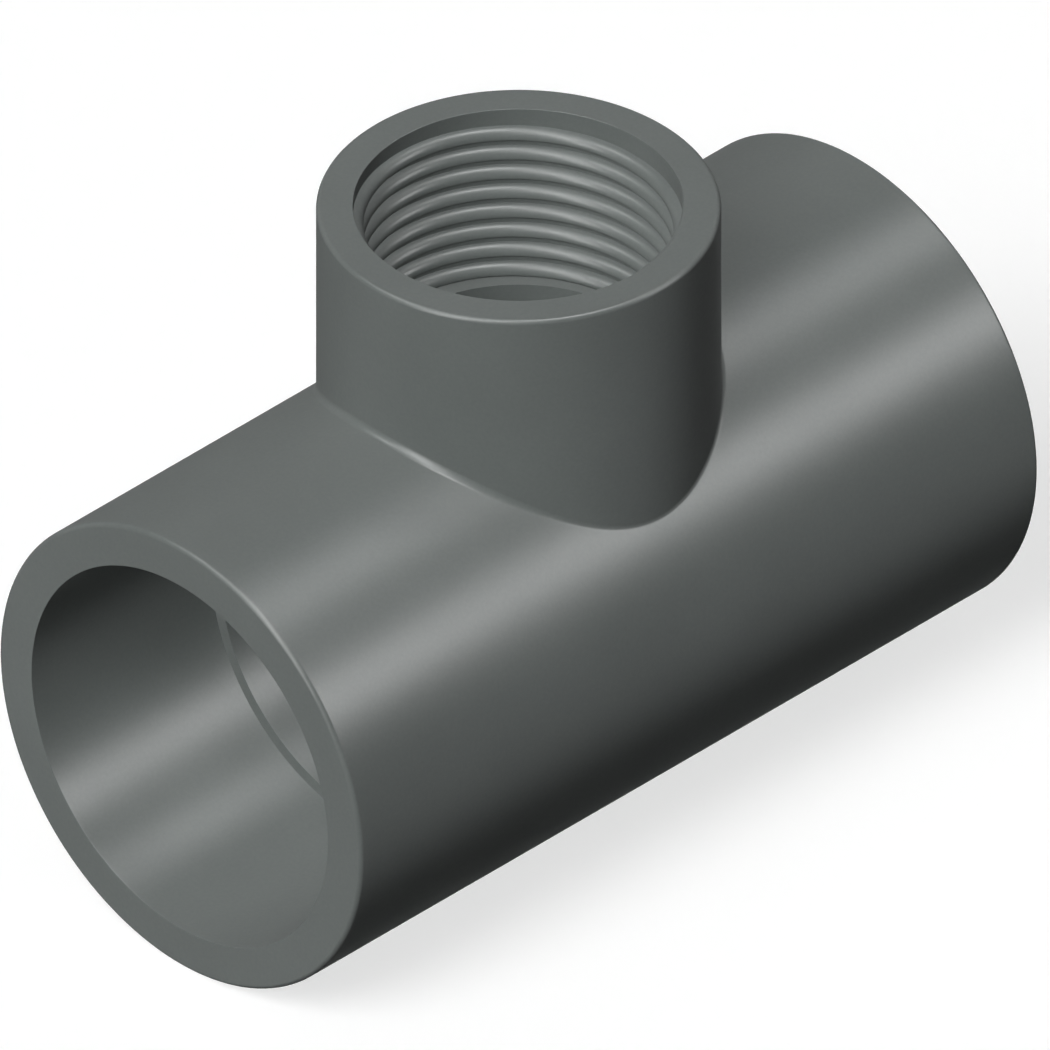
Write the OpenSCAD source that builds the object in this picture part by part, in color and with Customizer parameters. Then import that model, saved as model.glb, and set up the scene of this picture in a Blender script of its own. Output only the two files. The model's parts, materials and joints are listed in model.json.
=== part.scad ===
// Reducing tee in rigid plastic: a straight run with two solvent-cement
// sockets, and a smaller branch with an internal parallel pipe thread.
// Frame: the run lies along X, the branch rises along +Z, and the origin is
// where their axes cross. Sizes are in millimetres.

/* [Run] */
// Outside diameter of the run
run_d = 50; // [48:0.5:56]
// Length of the run from one socket mouth to the other
run_l = 93.7; // [84:0.1:120]

/* [Sockets] */
// Bore of each socket, with room for cement round 40 mm pipe
socket_d = 40.9; // [40:0.1:42]
// Depth of each socket from its mouth to the shoulder that stops the pipe
socket_depth = 24.8; // [20:0.1:28]
// Bore of the passage between the two sockets
passage_d = 38.4; // [34:0.1:39]

/* [Branch] */
// Outside diameter of the branch
branch_d = 39.6; // [37:0.1:44]
// Height of the branch face above the axis of the run
branch_h = 42.6; // [40:0.1:60]
// Bore of the branch between the threaded length and the run
branch_bore_d = 28.7; // [20:0.1:29]

/* [Branch thread] */
// Bore at the crests of the thread, for a one inch parallel pipe thread
thread_crest_d = 30.291; // [29.5:0.001:31]
// Depth from the branch face to the flat floor below the thread
thread_depth = 19.7; // [14:0.1:22]
// Plain bore of the mouth above the first turn of the thread
mouth_d = 32.4; // [31.5:0.1:34]
// Depth of that plain bore
mouth_depth = 1.5; // [0.8:0.1:3]
// Height of the slope from the plain bore in to the first crest
mouth_slope = 0.9; // [0.4:0.1:1.5]

/* [Edges] */
// Radius on the outer rims of the sockets and the branch
rim_r = 0.5; // [0.2:0.1:1.2]
// Radius of the fillet where the branch meets the run
fillet_r = 0.8; // [0.4:0.1:1.6]
// Sections in one turn of that fillet
fillet_sections = 96; // [48:12:144]
// Steps across the hollow of that fillet
fillet_steps = 5; // [3:1:8]

/* [Hidden] */
$fn = 128;

run_r = run_d / 2;
branch_r = branch_d / 2;
// How far a cutter runs past the face that it opens
clear = 1;
// How far the fillet's edges and back lie inside the two cylinders
edge_sink = 0.03;
back_sink = 0.5;

// Half outline of a solid turned shape with a rounded top rim
module rounded_outline(r, h, rim) {
    square([r - rim, h]);
    square([r, h - rim]);
    translate([r - rim, h - rim]) circle(rim);
}

// Upright round bar from z = 0, with a rounded top rim
module rounded_bar(r, h, rim) {
    rotate_extrude() intersection() {
        rounded_outline(r, h, rim);
        square([r, h]);
    }
}

// Stands the child, which is built along +Z, along the run towards +X or -X
module along_run(side) {
    rotate([0, side * 90, 0]) children();
}

// Both halves of the run, mouth to mouth
module run_outside() {
    for (side = [-1, 1]) along_run(side) rounded_bar(run_r, run_l / 2, rim_r);
}

// Branch from the axis of the run to its face
module branch_outside() {
    rounded_bar(branch_r, branch_h, rim_r);
}

// Socket cutter: plain bore down to the shoulder
module socket_cut() {
    translate([0, 0, run_l / 2 - socket_depth])
        cylinder(d = socket_d, h = socket_depth + clear);
}

// Branch cutter: plain mouth, slope to the thread, bore at its crests, lower bore
module branch_cut() {
    translate([0, 0, branch_h - thread_depth])
        cylinder(d = thread_crest_d, h = thread_depth);
    translate([0, 0, branch_h - mouth_depth - mouth_slope])
        cylinder(d1 = thread_crest_d, d2 = mouth_d, h = mouth_slope);
    translate([0, 0, branch_h - mouth_depth])
        cylinder(d = mouth_d, h = mouth_depth + clear);
    cylinder(d = branch_bore_d, h = branch_h);
}

// Centre of a ball of radius fillet_r that touches both cylinders, at angle a
function ball_centre(a) =
    let (x = (branch_r + fillet_r) * cos(a), y = (branch_r + fillet_r) * sin(a))
    [x, y, sqrt(pow(run_r + fillet_r, 2) - y * y)];

// Outward directions of the two cylinders at the ball's touching points
function branch_out(a) = [cos(a), sin(a), 0];
function run_out(c) = [0, c[1], c[2]] / (run_r + fillet_r);

// Direction part of the way round from one unit vector to another
function turned(u, v, part) =
    let (full = acos(u * v)) (sin((1 - part) * full) * u + sin(part * full) * v) / sin(full);

// One section of the fillet: its hollow, then its back inside both cylinders
function fillet_section(a) =
    let (c = ball_centre(a), b = branch_out(a), r = run_out(c), mid = turned(b, r, 0.5))
    concat(
        [c - (fillet_r + edge_sink) * b],
        [for (i = [1 : fillet_steps - 1]) c - fillet_r * turned(b, r, i / fillet_steps)],
        [c - (fillet_r + edge_sink) * r],
        [c - (fillet_r + edge_sink + back_sink) * (b + r)
            * (1 / (1 + b * r))]
    );

// Ring of a concave fillet swept once round the branch
module junction_fillet() {
    n = fillet_steps + 2;
    points = [for (k = [0 : fillet_sections - 1])
        each fillet_section(k * 360 / fillet_sections)];
    faces = [for (k = [0 : fillet_sections - 1], i = [0 : n - 1], half = [0, 1])
        let (k2 = (k + 1) % fillet_sections, i2 = (i + 1) % n)
        half == 0 ? [k * n + i, k2 * n + i2, k * n + i2] : [k * n + i, k2 * n + i, k2 * n + i2]];
    polyhedron(points, faces, convexity = 6);
}

module tee_body() {
    color("dimgray") difference() {
        union() {
            run_outside();
            branch_outside();
            junction_fillet();
        }
        for (side = [-1, 1]) along_run(side) socket_cut();
        along_run(1) translate([0, 0, -run_l / 2]) cylinder(d = passage_d, h = run_l);
        branch_cut();
    }
}

tee_body();
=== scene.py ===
import json

import bpy
import numpy as np
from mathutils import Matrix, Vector


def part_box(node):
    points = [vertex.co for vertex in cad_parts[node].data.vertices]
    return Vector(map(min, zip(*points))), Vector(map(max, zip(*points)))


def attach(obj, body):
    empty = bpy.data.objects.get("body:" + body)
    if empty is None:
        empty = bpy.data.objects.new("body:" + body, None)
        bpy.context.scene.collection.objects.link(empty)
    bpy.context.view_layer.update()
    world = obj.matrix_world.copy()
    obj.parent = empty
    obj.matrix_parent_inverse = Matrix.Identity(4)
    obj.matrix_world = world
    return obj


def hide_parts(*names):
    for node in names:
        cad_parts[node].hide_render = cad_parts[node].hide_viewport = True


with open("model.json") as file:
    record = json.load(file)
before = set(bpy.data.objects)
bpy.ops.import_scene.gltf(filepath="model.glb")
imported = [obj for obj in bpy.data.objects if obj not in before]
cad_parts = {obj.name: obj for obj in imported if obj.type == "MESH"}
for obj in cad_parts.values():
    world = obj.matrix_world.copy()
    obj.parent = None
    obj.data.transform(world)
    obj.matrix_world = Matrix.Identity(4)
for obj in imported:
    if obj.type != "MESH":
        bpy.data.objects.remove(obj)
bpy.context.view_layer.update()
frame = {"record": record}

# Sizes are in metres, in the frame of the fitting: run along X, branch up Z,
# origin where their axes cross. What the frame states is read from it.
MM = 0.001
low, high = (np.array(corner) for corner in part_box("tee_body"))
mounts = {m["name"]: m for m in frame["record"]["mounts"]}


def bore_radius(name):
    """Radius of the bore that the record states under that name."""
    return mounts[name]["dims"]["r_mm"] * MM


# The run, its two sockets and the passage between their shoulders
RUN_R = -low[2]
RUN_END = high[0]
SOCKET_R = bore_radius("socket_b")
SHOULDER_X = mounts["socket_b"]["pos_m"][0]
PASSAGE_R = bore_radius("run_passage")

# The branch, its plain mouth, the crests and floor of its thread, and the bore below
BRANCH_R = 19.8 * MM
BRANCH_TOP = high[2]
MOUTH_R = 16.2 * MM
CREST_R = bore_radius("branch_thread")
THREAD_FLOOR = mounts["branch_thread"]["pos_m"][2]
THREAD_DEPTH = BRANCH_TOP - THREAD_FLOOR
BRANCH_BORE_R = bore_radius("branch_passage")

# Outer rims, the fillet round the branch, and the barely broken edges of the mouths
RIM_R = 0.5 * MM
FILLET_R = 0.8 * MM
SOFT_EDGE = 0.06 * MM

# The pipe thread: a right-hand ridge of round section, 11 turns an inch, that stands on
# the plain bore of the mouth and is wider above its crest than below. Its crest lies at
# CREST_DEPTH below the branch's face at CREST_ANGLE. From there it climbs on, and sinks
# into the bore between the two fade angles.
PITCH = 2.309 * MM
RIDGE_ABOVE = 0.97 * MM
RIDGE_BELOW = 0.55 * MM
CREST_DEPTH = 2.92 * MM
CREST_ANGLE = np.radians(45)
FADE_FROM, FADE_TO = np.radians(230), np.radians(290)

# Steps of the grids. A grid round the branch's hole runs out to the four borders of the
# run's upper half, so a quarter turn of the run has an eighth of its steps.
AROUND = 288
RUN_STEPS = AROUND // 8
RUN_ROWS = 20
PASSAGE_ROWS = 10
SIDE_ROWS = 12
FILLET_ROWS = 8
RIM_ROWS = 6
BORE_ROWS = 6
SOFT_ROWS = 3
FLOOR_ROWS = 3
FACE_ROWS = 2
RIDGE_ROWS = 18
# The run's rows lie closer together near the branch, by this power
ROW_CROWDING = 1.3

# Cell of the grid that welds points, and its shift, which keeps round sizes off its lines
WELD = 0.001 * MM
WELD_SHIFT = 0.37

# The plastic's colour, between two greys close together
DARK_GREY = (0.113, 0.127, 0.122, 1)
PALE_GREY = (0.133, 0.146, 0.141, 1)

# The floor: half its width, its grey for soft bounced light, its white where it is seen,
# and the light that it adds there on top of the lamps to come out white
FLOOR_HALF = 3.0
FLOOR_GREY = (0.06, 0.06, 0.06, 1)
FLOOR_WHITE = (0.9, 0.9, 0.9, 1)
FLOOR_GLOW = 0.18

# The picture's own scale and the place of the origin in it
PIXELS = 1050
PIXELS_PER_M = 10.238 / MM
ORIGIN_PX = (518.7, 560.9)
CAMERA_DISTANCE = 0.6
CAMERA_REACH = 10


def lerp(a, b, t):
    """A straight run from a to b: a plus t times the difference."""
    return a + (b - a) * t


def rows(count):
    """Even steps from 0 to 1."""
    return np.linspace(0, 1, count + 1)


class Shell:
    """Collects grids of quads and their true normals, then welds them into one closed mesh."""

    def __init__(self):
        self.points, self.normals, self.quads, self.count = [], [], [], 0

    def add(self, surface, us, vs, flip=False, limit=None, heights=None, step=1e-4):
        """Adds surface(u, v) on the grid us by vs, with v held to limit(u, v) and then z held
        between two heights, if those are given.
        Its normal is the cross product of the two slopes, each the difference of two near
        points over the span of the grid. A slope of nothing leaves the normal to Blender."""
        u, v = np.meshgrid(us, vs, indexing="ij")
        if limit:
            v = limit(u, v)
        du, dv = (us[-1] - us[0]) * step, (vs[-1] - vs[0]) * step
        points = np.stack(surface(u, v), axis=-1)
        if heights:
            points[..., 2] = np.clip(points[..., 2], *heights)
        slope_u = np.stack(surface(u + du, v), -1) - np.stack(surface(u - du, v), -1)
        slope_v = np.stack(surface(u, v + dv), -1) - np.stack(surface(u, v - dv), -1)
        normals = np.cross(slope_u, slope_v)
        normals /= np.maximum(np.linalg.norm(normals, axis=-1, keepdims=True), 1e-30)
        index = np.arange(u.size).reshape(u.shape) + self.count
        corners = [index[:-1, :-1], index[1:, :-1], index[1:, 1:], index[:-1, 1:]]
        quads = np.stack(corners, -1).reshape(-1, 4)
        if flip:
            normals, quads = -normals, quads[:, ::-1]
        self.points.append(points.reshape(-1, 3))
        self.normals.append(normals.reshape(-1, 3))
        self.quads.append(quads)
        self.count += u.size

    def build(self, name):
        """One mesh: points that share a cell of the weld grid become one vertex, every face
        corner keeps the normal of the surface that it came from, and faces that the limits
        have closed up are left out."""
        points, normals = np.concatenate(self.points), np.concatenate(self.normals)
        quads = np.concatenate(self.quads)
        cells = np.floor(points / WELD + WELD_SHIFT).astype(np.int64)
        _, first, merged = np.unique(cells, axis=0, return_index=True, return_inverse=True)
        corners = merged.reshape(-1)[quads]
        kept = corners != np.roll(corners, 1, axis=1)
        crossed = (corners[:, 0] == corners[:, 2]) | (corners[:, 1] == corners[:, 3])
        kept[crossed | (kept.sum(axis=1) < 3)] = False
        used, inverse = np.unique(corners[kept], return_inverse=True)
        sizes = kept.sum(axis=1)
        faces = np.split(inverse.reshape(-1), np.cumsum(sizes[sizes > 0])[:-1])
        mesh = bpy.data.meshes.new(name)
        mesh.from_pydata(points[first][used], [], [face.tolist() for face in faces])
        mesh.shade_smooth()
        mesh.normals_split_custom_set(normals[quads[kept]])
        mesh.update()
        piece = bpy.data.objects.new(name, mesh)
        bpy.context.scene.collection.objects.link(piece)
        return piece


def line(a, b):
    """Straight profile from point a to point b."""
    return lambda t: (lerp(a[0], b[0], t), lerp(a[1], b[1], t))


def arc(centre, radius, start, end):
    """Arc profile: centre plus radius times (cos, sin) of an angle in degrees."""
    def profile(t):
        a = np.radians(lerp(start, end, t))
        return centre[0] + radius * np.cos(a), centre[1] + radius * np.sin(a)
    return profile


def run_turned(profile, side):
    """A profile t -> (x, r) turned about X, at the end of the run on that side."""
    def surface(roll, t):
        x, r = profile(t)
        return side * x + 0 * roll, r * np.sin(roll), r * np.cos(roll)
    return surface


def turned(angle, r, z):
    """A point of a shape turned about the branch's axis."""
    return r * np.cos(angle), r * np.sin(angle), z


def branch_turned(profile):
    """A profile t -> (r, z) turned about Z."""
    def surface(angle, t):
        r, z = profile(t)
        return turned(angle, r, z + 0 * angle)
    return surface


def saddle(angle, r, run_r):
    """Where an upright cylinder of radius r meets the run's cylinder of radius run_r:
    x = r cos(angle), y = r sin(angle), z = the root of run_r squared less y squared."""
    x, y = r * np.cos(angle), r * np.sin(angle)
    return x, y, np.sqrt(run_r ** 2 - y ** 2)


def ball_centre(angle):
    """Centre of the ball that rolls round the junction and touches run and branch."""
    return saddle(angle, BRANCH_R + FILLET_R, RUN_R + FILLET_R)


def junction_fillet(angle, part):
    """The hollow between run and branch: the ball's centre less its radius times a unit
    vector that swings from the run's normal (part 0) to the branch's normal (part 1)."""
    cx, cy, cz = ball_centre(angle)
    run = np.stack([0 * cx, cy, cz], -1) / (RUN_R + FILLET_R)
    branch = np.stack([np.cos(angle), np.sin(angle), 0 * angle], -1)
    full = np.arccos(np.sum(run * branch, axis=-1, keepdims=True))
    t = part[..., None]
    out = (np.sin((1 - t) * full) * run + np.sin(t * full) * branch) / np.sin(full)
    x, y, z = np.moveaxis(out, -1, 0)
    return cx - FILLET_R * x, cy - FILLET_R * y, cz - FILLET_R * z


def branch_side(angle, part):
    """The branch's outside, from the fillet's upper edge (part 0) to the rim (part 1)."""
    return turned(angle, BRANCH_R, lerp(ball_centre(angle)[2], BRANCH_TOP - RIM_R, part))


def outer_hole(angle):
    """Lower edge of the fillet, where the rolling ball touches the run."""
    cx, cy, cz = ball_centre(angle)
    shrink = RUN_R / (RUN_R + FILLET_R)
    return cx, cy * shrink, cz * shrink


def inner_hole(angle):
    """Edge where the branch's lower bore opens into the passage."""
    return saddle(angle, BRANCH_BORE_R, PASSAGE_R)


def round_hole(hole, run_r, x_end):
    """Surface of a run cylinder round the branch's hole, for angle round the branch and part
    from the hole (0) to the border of the upper half of the run (1). Both ends are points
    (x, roll), where roll is the angle about X from the top, and part blends them."""
    def surface(angle, part):
        hx, hy, hz = hole(angle)
        hole_roll = np.arctan2(hy, hz)
        turn = np.mod(angle + np.pi / 4, 2 * np.pi) / (np.pi / 2)
        side, along = np.floor(turn), np.mod(turn, 1)
        sweep = 2 * along - 1
        edge_x = np.choose(side.astype(int), [1 + 0 * sweep, -sweep, -1 + 0 * sweep, sweep])
        edge_roll = np.choose(side.astype(int), [sweep, 1 + 0 * sweep, -sweep, -1 + 0 * sweep])
        x = lerp(hx, edge_x * x_end, part)
        roll = lerp(hole_roll, edge_roll * np.pi / 2, part)
        return x, run_r * np.sin(roll), run_r * np.cos(roll)
    return surface


def run_underside(run_r, x_end):
    """The lower half of a run cylinder, from end to end."""
    def surface(x_part, roll):
        return x_part * x_end, run_r * np.sin(roll), run_r * np.cos(roll)
    return surface


def crest_depth(angle, lap):
    """Depth of the ridge's crest: a helix that climbs one pitch in a turn, lap by lap."""
    return CREST_DEPTH + PITCH * (lap - (angle - CREST_ANGLE) / (2 * np.pi))


def ridge_height(angle, lap):
    """Height of the ridge over the plain bore, which fades to none at its upper end."""
    climbed = angle - CREST_ANGLE - 2 * np.pi * lap
    gone = np.clip((climbed - FADE_FROM) / (FADE_TO - FADE_FROM), 0, 1)
    return (MOUTH_R - CREST_R) * (1 - gone * gone * (3 - 2 * gone))


def half_width(offset):
    """Width of the ridge on that side of its crest: above where offset is negative."""
    return np.where(offset < 0, RIDGE_ABOVE, RIDGE_BELOW)


def ridge(lap):
    """One lap of the ridge, two quarters of an ellipse in section: t runs from its upper
    foot at -90 degrees over the crest to its lower foot at +90 degrees. Its limit ends it
    at the mouth's edge and at the thread's floor."""
    def surface(angle, t):
        depth = crest_depth(angle, lap) + half_width(t) * np.sin(t)
        return turned(angle, MOUTH_R - ridge_height(angle, lap) * np.cos(t), BRANCH_TOP - depth)

    def limit(angle, t):
        ends = [SOFT_EDGE, THREAD_DEPTH] - crest_depth(angle, lap)[..., None]
        first, last = np.moveaxis(np.arcsin(np.clip(ends / half_width(ends), -1, 1)), -1, 0)
        return np.clip(t, first, last)
    return surface, limit


def gap(lap):
    """The strip of plain bore below one lap of the ridge, down to the next. What would lie
    below the floor takes the radius of the floor's edge, so that it closes up there."""
    def surface(angle, offset):
        depth = crest_depth(angle, lap) + offset
        radius = np.where(depth > THREAD_DEPTH, floor_edge(angle), MOUTH_R)
        return turned(angle, radius, BRANCH_TOP - depth)
    return surface, None


def floor_edge(angle):
    """Radius at which the threaded wall meets its floor: that of the ridge where the floor
    cuts it, or else the plain bore."""
    lap = np.round((THREAD_DEPTH - crest_depth(angle, 0)) / PITCH)
    offset = THREAD_DEPTH - crest_depth(angle, lap)
    share = 1 - np.clip(offset / half_width(offset), -1, 1) ** 2
    return MOUTH_R - ridge_height(angle, lap) * np.sqrt(share)


def thread_floor(angle, part):
    """The flat floor from the foot of the threaded wall in to the lower bore."""
    return turned(angle, lerp(floor_edge(angle), BRANCH_BORE_R, part), THREAD_FLOOR + 0 * angle)


def lower_bore(angle, part):
    """The bore below the thread, from its floor to the passage of the run."""
    return turned(angle, BRANCH_BORE_R, lerp(THREAD_FLOOR, inner_hole(angle)[2], part))


def add_outside(shell, turn, under, ends):
    """The run's outside, the fillet, and the branch up to the inner edge of its face."""
    x_end = RUN_END - RIM_R
    shell.add(round_hole(outer_hole, RUN_R, x_end), turn, rows(RUN_ROWS) ** ROW_CROWDING, flip=True)
    shell.add(run_underside(RUN_R, x_end), ends, under)
    shell.add(junction_fillet, turn, rows(FILLET_ROWS))
    shell.add(branch_side, turn, rows(SIDE_ROWS))
    rim = (BRANCH_R - RIM_R, BRANCH_TOP - RIM_R)
    soft = (MOUTH_R + SOFT_EDGE, BRANCH_TOP - SOFT_EDGE)
    face = line((rim[0], BRANCH_TOP), (soft[0], BRANCH_TOP))
    shell.add(branch_turned(arc(rim, RIM_R, 0, 90)), turn, rows(RIM_ROWS))
    shell.add(branch_turned(face), turn, rows(FACE_ROWS))
    shell.add(branch_turned(arc(soft, SOFT_EDGE, 90, 180)), turn, rows(SOFT_ROWS))


def add_inside(shell, turn, under, ends):
    """The threaded wall lap by lap, its floor, the lower bore and the passage."""
    over = np.linspace(-np.pi / 2, np.pi / 2, RIDGE_ROWS + 1)
    strip = np.linspace(RIDGE_BELOW, PITCH - RIDGE_ABOVE, 2)
    wall = THREAD_FLOOR, BRANCH_TOP - SOFT_EDGE
    for lap in range(-2, int(THREAD_DEPTH / PITCH) + 2):
        for (surface, limit), steps in ((ridge(lap), over), (gap(lap), strip)):
            shell.add(surface, turn, steps, limit=limit, heights=wall)
    shell.add(thread_floor, turn, rows(FLOOR_ROWS))
    shell.add(lower_bore, turn, rows(BORE_ROWS))
    shell.add(round_hole(inner_hole, PASSAGE_R, SHOULDER_X), turn, rows(PASSAGE_ROWS))
    shell.add(run_underside(PASSAGE_R, SHOULDER_X), ends, under, flip=True)


def add_ends(shell, rolls):
    """Both ends of the run: rim, face, edge of the mouth, socket wall and shoulder."""
    edge = RUN_END - SOFT_EDGE
    profiles = [
        (arc((RUN_END - RIM_R, RUN_R - RIM_R), RIM_R, 90, 0), RIM_ROWS),
        (line((RUN_END, RUN_R - RIM_R), (RUN_END, SOCKET_R + SOFT_EDGE)), FACE_ROWS),
        (arc((edge, SOCKET_R + SOFT_EDGE), SOFT_EDGE, 0, -90), SOFT_ROWS),
        (line((edge, SOCKET_R), (SHOULDER_X, SOCKET_R)), SIDE_ROWS),
        (line((SHOULDER_X, SOCKET_R), (SHOULDER_X, PASSAGE_R)), 1),
    ]
    for side in (-1, 1):
        for profile, count in profiles:
            shell.add(run_turned(profile, side), rolls, rows(count), flip=side > 0)


def tee_surface():
    """The whole fitting as one closed shell."""
    shell = Shell()
    turn = np.linspace(0, 2 * np.pi, AROUND + 1)
    rolls = np.linspace(-np.pi / 2, 1.5 * np.pi, 4 * RUN_STEPS + 1)
    under = np.linspace(np.pi / 2, 1.5 * np.pi, 2 * RUN_STEPS + 1)
    ends = np.linspace(-1, 1, 2 * RUN_STEPS + 1)
    add_outside(shell, turn, under, ends)
    add_inside(shell, turn, under, ends)
    add_ends(shell, rolls)
    return shell.build("moulded_tee")


def node(tree, kind, place, inputs=None, **settings):
    """Adds a shader node at a place, with its settings and the values of its inputs."""
    new = tree.nodes.new(kind)
    new.location = place
    for key, value in settings.items():
        setattr(new, key, value)
    for key, value in (inputs or {}).items():
        new.inputs[key].default_value = value
    return new


def moulded_plastic():
    """Dark grey rigid plastic with a satin skin: a fine grain in colour and bump, broad
    faint clouds in colour and gloss, and less gloss where the surface turns away."""
    material = bpy.data.materials.new("moulded_plastic")
    material.use_nodes = True
    tree = material.node_tree
    plastic = tree.nodes["Principled BSDF"]
    plastic.inputs["Specular IOR Level"].default_value = 0.18
    place = node(tree, "ShaderNodeTexCoord", (-1300, 0))
    grain = node(tree, "ShaderNodeTexNoise", (-1100, -200),
                 {"Scale": 2600.0, "Detail": 2.0, "Roughness": 0.55})
    clouds = node(tree, "ShaderNodeTexNoise", (-1100, 200),
                  {"Scale": 70.0, "Detail": 3.0, "Roughness": 0.5})
    for texture in (grain, clouds):
        tree.links.new(place.outputs["Object"], texture.inputs["Vector"])

    speckle = node(tree, "ShaderNodeMix", (-800, 200), data_type="RGBA")
    speckle.inputs["A"].default_value = DARK_GREY
    speckle.inputs["B"].default_value = PALE_GREY
    tree.links.new(grain.outputs["Fac"], speckle.inputs["Factor"])
    tone = node(tree, "ShaderNodeMix", (-500, 200), data_type="RGBA", blend_type="MULTIPLY")
    cloud_tone = node(tree, "ShaderNodeMapRange", (-800, 400),
                      {"From Min": 0.3, "From Max": 0.7, "To Min": 0.96, "To Max": 1.04})
    tree.links.new(clouds.outputs["Fac"], cloud_tone.inputs["Value"])
    tone.inputs["Factor"].default_value = 1.0
    tree.links.new(speckle.outputs["Result"], tone.inputs["A"])
    tree.links.new(cloud_tone.outputs["Result"], tone.inputs["B"])
    tree.links.new(tone.outputs["Result"], plastic.inputs["Base Color"])

    turning = node(tree, "ShaderNodeLayerWeight", (-800, -100), {"Blend": 0.5})
    gloss = node(tree, "ShaderNodeMapRange", (-500, -100),
                 {"From Min": 0.3, "From Max": 0.6, "To Min": 0.36, "To Max": 1.0})
    worn = node(tree, "ShaderNodeMath", (-250, -100), operation="MULTIPLY_ADD")
    worn.inputs[1].default_value = 0.05
    tree.links.new(turning.outputs["Facing"], gloss.inputs["Value"])
    tree.links.new(clouds.outputs["Fac"], worn.inputs[0])
    tree.links.new(gloss.outputs["Result"], worn.inputs[2])
    tree.links.new(worn.outputs["Value"], plastic.inputs["Roughness"])

    skin = node(tree, "ShaderNodeBump", (-250, -350), {"Strength": 0.25, "Distance": 0.00002})
    tree.links.new(grain.outputs["Fac"], skin.inputs["Height"])
    tree.links.new(skin.outputs["Normal"], plastic.inputs["Normal"])
    return material


def floor_material():
    """White floor that takes the shadow. The rays that show it, from the camera, from gloss
    and through glass, also get a little light from it, and soft bounced light is held back."""
    material = bpy.data.materials.new("pale_floor")
    material.use_nodes = True
    tree = material.node_tree
    tree.nodes.clear()
    rays = node(tree, "ShaderNodeLightPath", (-600, 0))
    seen = rays.outputs["Is Camera Ray"]
    for step, kind in enumerate(("Is Glossy Ray", "Is Transmission Ray")):
        either = node(tree, "ShaderNodeMath", (200 * step - 400, 0), operation="MAXIMUM")
        tree.links.new(seen, either.inputs[0])
        tree.links.new(rays.outputs[kind], either.inputs[1])
        seen = either.outputs[0]
    tone = node(tree, "ShaderNodeMix", (0, 100), data_type="RGBA")
    tone.inputs["A"].default_value = FLOOR_GREY
    tone.inputs["B"].default_value = FLOOR_WHITE
    glow = node(tree, "ShaderNodeMath", (0, -150), operation="MULTIPLY")
    glow.inputs[1].default_value = FLOOR_GLOW
    tree.links.new(seen, tone.inputs["Factor"])
    tree.links.new(seen, glow.inputs[0])
    matt = node(tree, "ShaderNodeBsdfPrincipled", (200, 0),
                {"Roughness": 1.0, "Specular IOR Level": 0.0, "Emission Color": (1, 1, 1, 1)})
    tree.links.new(tone.outputs["Result"], matt.inputs["Base Color"])
    tree.links.new(glow.outputs[0], matt.inputs["Emission Strength"])
    out = node(tree, "ShaderNodeOutputMaterial", (500, 0))
    tree.links.new(matt.outputs[0], out.inputs["Surface"])
    return material


def floor():
    """Flat square under the run."""
    mesh = bpy.data.meshes.new("floor")
    signs = ((-1, -1), (1, -1), (1, 1), (-1, 1))
    corners = [(x * FLOOR_HALF, y * FLOOR_HALF, low[2]) for x, y in signs]
    mesh.from_pydata(corners, [], [(0, 1, 2, 3)])
    mesh.materials.append(floor_material())
    plane = bpy.data.objects.new("floor", mesh)
    bpy.context.scene.collection.objects.link(plane)


def camera():
    """Isometric view without perspective: the run goes to the upper right, the branch up,
    and the origin comes to its place in the picture."""
    towards = Vector((-1, -1, 1)).normalized()
    right = Vector((1, -1, 0)).normalized()
    up = towards.cross(right)
    middle = PIXELS / 2
    aim = (right * (middle - ORIGIN_PX[0]) + up * (ORIGIN_PX[1] - middle)) / PIXELS_PER_M
    data = bpy.data.cameras.new("camera")
    data.type = "ORTHO"
    data.ortho_scale = PIXELS / PIXELS_PER_M
    data.clip_end = CAMERA_REACH
    eye = bpy.data.objects.new("camera", data)
    eye.location = aim + towards * CAMERA_DISTANCE
    eye.rotation_euler = (-towards).to_track_quat("-Z", "Y").to_euler()
    bpy.context.scene.collection.objects.link(eye)
    bpy.context.scene.camera = eye


def compass(azimuth, height):
    """Direction at that azimuth and height above the horizon, both in degrees."""
    a, h = np.radians(azimuth), np.radians(height)
    return np.cos(h) * np.cos(a), np.cos(h) * np.sin(a), np.sin(h)


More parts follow.
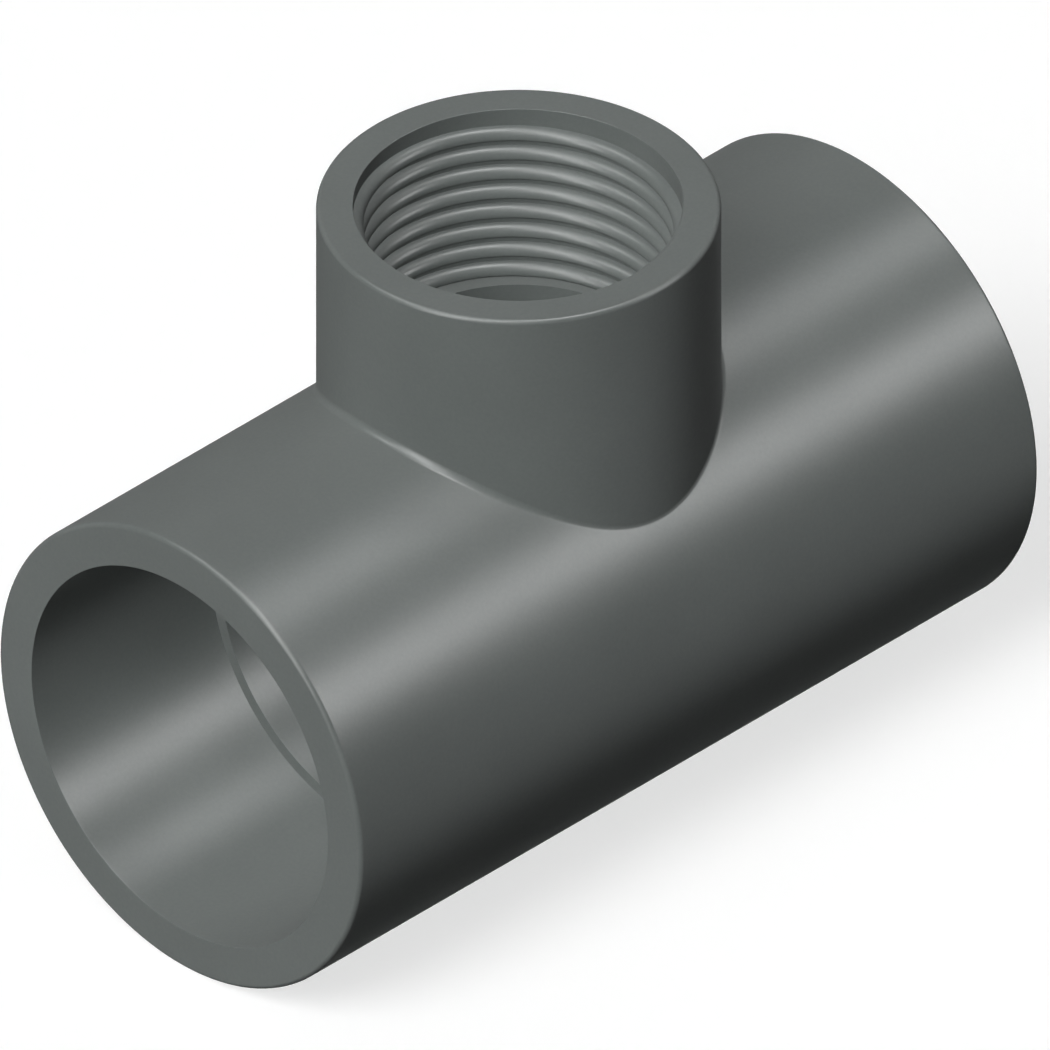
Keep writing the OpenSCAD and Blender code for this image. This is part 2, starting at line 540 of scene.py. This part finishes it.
def sun(name, direction, strength, spread, shadow=True, matt=True, gloss=True):
    """A distant soft lamp that shines from that direction. Its spread is in degrees. Matt and
    gloss say which part of what a surface sends back it adds to."""
    data = bpy.data.lights.new(name, "SUN")
    data.energy = strength
    data.angle = np.radians(spread)
    data.use_shadow = shadow
    lamp = bpy.data.objects.new(name, data)
    lamp.rotation_euler = (-Vector(direction)).to_track_quat("-Z", "Y").to_euler()
    lamp.visible_diffuse = matt
    lamp.visible_glossy = gloss
    bpy.context.scene.collection.objects.link(lamp)


def strip_light(name, lean, lamps):
    """A long strip light along X, seen in the gloss only, as a row of lamps. Lean is its
    step in Y for one of height. Each lamp has its angle from +X, its strength and spread."""
    up = Vector((0, lean, 1)).normalized()
    for angle, strength, spread in lamps:
        a = np.radians(angle)
        direction = Vector((np.cos(a), 0, 0)) + up * np.sin(a)
        sun(f"{name}_{angle:.0f}", direction, strength, spread, shadow=False, matt=False)


def studio():
    """Soft front light, of which the key alone casts a shadow, a weak one on the back, the
    strips that draw the bands of gloss along the run and in the mouth, and a dim world."""
    sun("key", compass(195, 47), 1.0, 30)
    sun("fill", compass(200, 50), 2.45, 20, shadow=False)
    sun("low_fill", compass(180, 25), 0.3, 20, shadow=False)
    sun("back_fill", compass(25, 3), 0.5, 20, shadow=False, gloss=False)
    strip_light("high_strip", -0.16, [(56, 1.2, 14), (80, 4.5, 14), (103, 2.2, 14),
                                      (126, 1.2, 14), (149, 2.2, 14), (168, 3.0, 14)])
    strip_light("low_strip", -1.5, [(54.5, 3.3, 17)])
    sun("mouth_band", compass(140, 52), 2.5, 20, shadow=False, matt=False)
    world = bpy.data.worlds.new("studio")
    world.use_nodes = True
    background = world.node_tree.nodes["Background"]
    background.inputs["Color"].default_value = (1, 1, 1, 1)
    background.inputs["Strength"].default_value = 0.03
    bpy.context.scene.world = world


tee = tee_surface()
tee.data.materials.append(moulded_plastic())
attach(tee, "root")
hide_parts("tee_body")
floor()
camera()
studio()
bpy.context.scene.view_settings.view_transform = "Standard"
